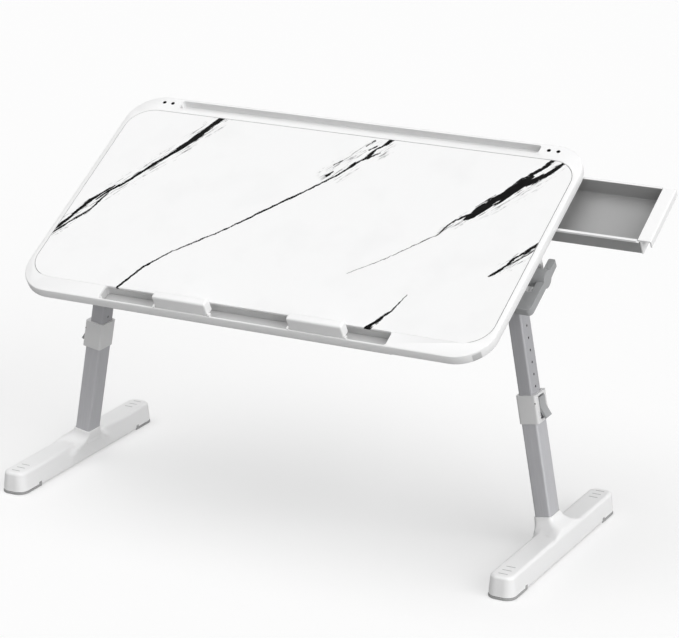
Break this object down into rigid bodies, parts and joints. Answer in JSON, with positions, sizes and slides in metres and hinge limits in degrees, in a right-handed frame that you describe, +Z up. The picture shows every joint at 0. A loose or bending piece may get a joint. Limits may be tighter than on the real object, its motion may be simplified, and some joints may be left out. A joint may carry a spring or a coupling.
{
  "type": "laptop stand with drawer",
  "caption": "Folding desk-top laptop stand: tilting marble-print top with side drawer, tablet slot and stoppers, on two folding telescopic legs.",
  "frame": {"origin": "middle of the footprint box on the floor plane, under the stand", "axes": "+Z up, +X to the user's right where the drawer opens, -Y towards the user"},
  "size_m": [0.875, 0.3704, 0.5072],
  "materials": {
    "rim": "satin white",
    "board": "white marble print with black veins",
    "core": "raw fibreboard",
    "panel": "matt",
    "cover": "matt",
    "bracket": "matt light grey",
    "yoke": "matt light grey",
    "lever": "matt mid grey",
    "steel": "plated",
    "inner_tube": "anodised grey",
    "outer_tube": "anodised light grey",
    "collar": "matt light grey",
    "tray": "matt grey",
    "pad": "matt grey"
  },
  "bodies": {
    "table": {"top_rim": "rim", "marble_board": "board", "core_board": "core", "under_panel": "panel", "trough_cover": "cover", "stopper_pin_left": "steel", "stopper_pin_right": "steel", "drawer_housing": "cover", "housing_screw_1": "steel", "housing_screw_2": "steel", "bracket_left": "bracket", "bracket_screw_left_1": "steel", "bracket_screw_left_2": "steel", "bracket_screw_left_3": "steel", "bracket_screw_left_4": "steel", "bracket_right": "bracket", "bracket_screw_right_1": "steel", "bracket_screw_right_2": "steel", "bracket_screw_right_3": "steel", "bracket_screw_right_4": "steel"},
    "hinge_pins": {"lock_disc_left": "steel", "lock_disc_right": "steel", "tilt_pin_left": "steel", "tilt_pin_right": "steel"},
    "tilt_lever_left": {"tilt_lever_left": "lever"},
    "yoke_left": {"yoke_left": "yoke", "fold_pin_left": "steel"},
    "upper_leg_left": {"leg_head_left": "yoke", "inner_tube_left": "inner_tube"},
    "lower_leg_left": {"outer_tube_left": "outer_tube", "collar_left": "collar", "clip_pin_left": "steel", "foot_left": "rim", "foot_pad_front_left": "pad", "foot_pad_rear_left": "pad"},
    "clip_lever_left": {"clip_lever_left": "lever"},
    "tilt_lever_right": {"tilt_lever_right": "lever"},
    "yoke_right": {"yoke_right": "yoke", "fold_pin_right": "steel"},
    "upper_leg_right": {"leg_head_right": "yoke", "inner_tube_right": "inner_tube"},
    "lower_leg_right": {"outer_tube_right": "outer_tube", "collar_right": "collar", "clip_pin_right": "steel", "foot_right": "rim", "foot_pad_front_right": "pad", "foot_pad_rear_right": "pad"},
    "clip_lever_right": {"clip_lever_right": "lever"},
    "drawer": {"drawer_tray": "tray", "drawer_handle": "rim"},
    "stopper_left": {"stopper_bar_left": "rim"},
    "stopper_right": {"stopper_bar_right": "rim"}
  },
  "joints": [
    {"name": "tilt", "type": "hinge", "parent": "hinge_pins", "child": "table", "pos_m": [-0.04048, 0.0112, 0.37058], "axis": [-1, 0, 0], "range_deg": [0, 29.6]},
    {"name": "flatten_left", "type": "hinge", "parent": "hinge_pins", "child": "yoke_left", "pos_m": [-0.36248, 0.0112, 0.37058], "axis": [1, 0, 0], "range_deg": [0, 29.6]},
    {"name": "fold_left", "type": "hinge", "parent": "yoke_left", "child": "upper_leg_left", "pos_m": [-0.34448, 0.0112, 0.37058], "axis": [0, 1, 0], "range_deg": [-100, 0]},
    {"name": "extend_left", "type": "slide", "parent": "upper_leg_left", "child": "lower_leg_left", "axis": [-0.1736, 0, -0.9848], "range_m": [-0.082, 0.033]},
    {"name": "clip_left", "type": "hinge", "parent": "lower_leg_left", "child": "clip_lever_left", "pos_m": [-0.38764, 0.0112, 0.20415], "axis": [0, 1, 0], "range_deg": [0, 18], "stiffness_Nm_per_rad": 0.05, "springref_deg": -17.19},
    {"name": "tilt_release_left", "type": "hinge", "parent": "table", "child": "tilt_lever_left", "pos_m": [-0.38448, 0.0112, 0.37058], "axis": [-1, 0, 0], "range_deg": [0, 14], "stiffness_Nm_per_rad": 0.3, "springref_deg": -17.19},
    {"name": "flatten_right", "type": "hinge", "parent": "hinge_pins", "child": "yoke_right", "pos_m": [0.28152, 0.0112, 0.37058], "axis": [1, 0, 0], "range_deg": [0, 29.6]},
    {"name": "fold_right", "type": "hinge", "parent": "yoke_right", "child": "upper_leg_right", "pos_m": [0.26352, 0.0112, 0.37058], "axis": [0, -1, 0], "range_deg": [-100, 0]},
    {"name": "extend_right", "type": "slide", "parent": "upper_leg_right", "child": "lower_leg_right", "axis": [0.1736, 0, -0.9848], "range_m": [-0.082, 0.033]},
    {"name": "clip_right", "type": "hinge", "parent": "lower_leg_right", "child": "clip_lever_right", "pos_m": [0.30668, 0.0112, 0.20415], "axis": [0, -1, 0], "range_deg": [0, 18], "stiffness_Nm_per_rad": 0.05, "springref_deg": -17.19},
    {"name": "tilt_release_right", "type": "hinge", "parent": "table", "child": "tilt_lever_right", "pos_m": [0.30352, 0.0112, 0.37058], "axis": [-1, 0, 0], "range_deg": [0, 14], "stiffness_Nm_per_rad": 0.3, "springref_deg": -17.19},
    {"name": "drawer_slide", "type": "slide", "parent": "table", "child": "drawer", "axis": [1, 0, 0], "range_m": [-0.128, 0]},
    {"name": "stopper_fold_left", "type": "hinge", "parent": "table", "child": "stopper_left", "pos_m": [-0.12548, -0.17524, 0.31654], "axis": [1, 0, 0], "range_deg": [-90, 0]},
    {"name": "stopper_fold_right", "type": "hinge", "parent": "table", "child": "stopper_right", "pos_m": [0.07522, -0.17524, 0.31654], "axis": [1, 0, 0], "range_deg": [-90, 0]}
  ],
  "couplings": [
    {"joint": "flatten_left", "follows": "fold_left", "ratio": -0.296},
    {"joint": "flatten_right", "follows": "fold_right", "ratio": -0.296}
  ]
}
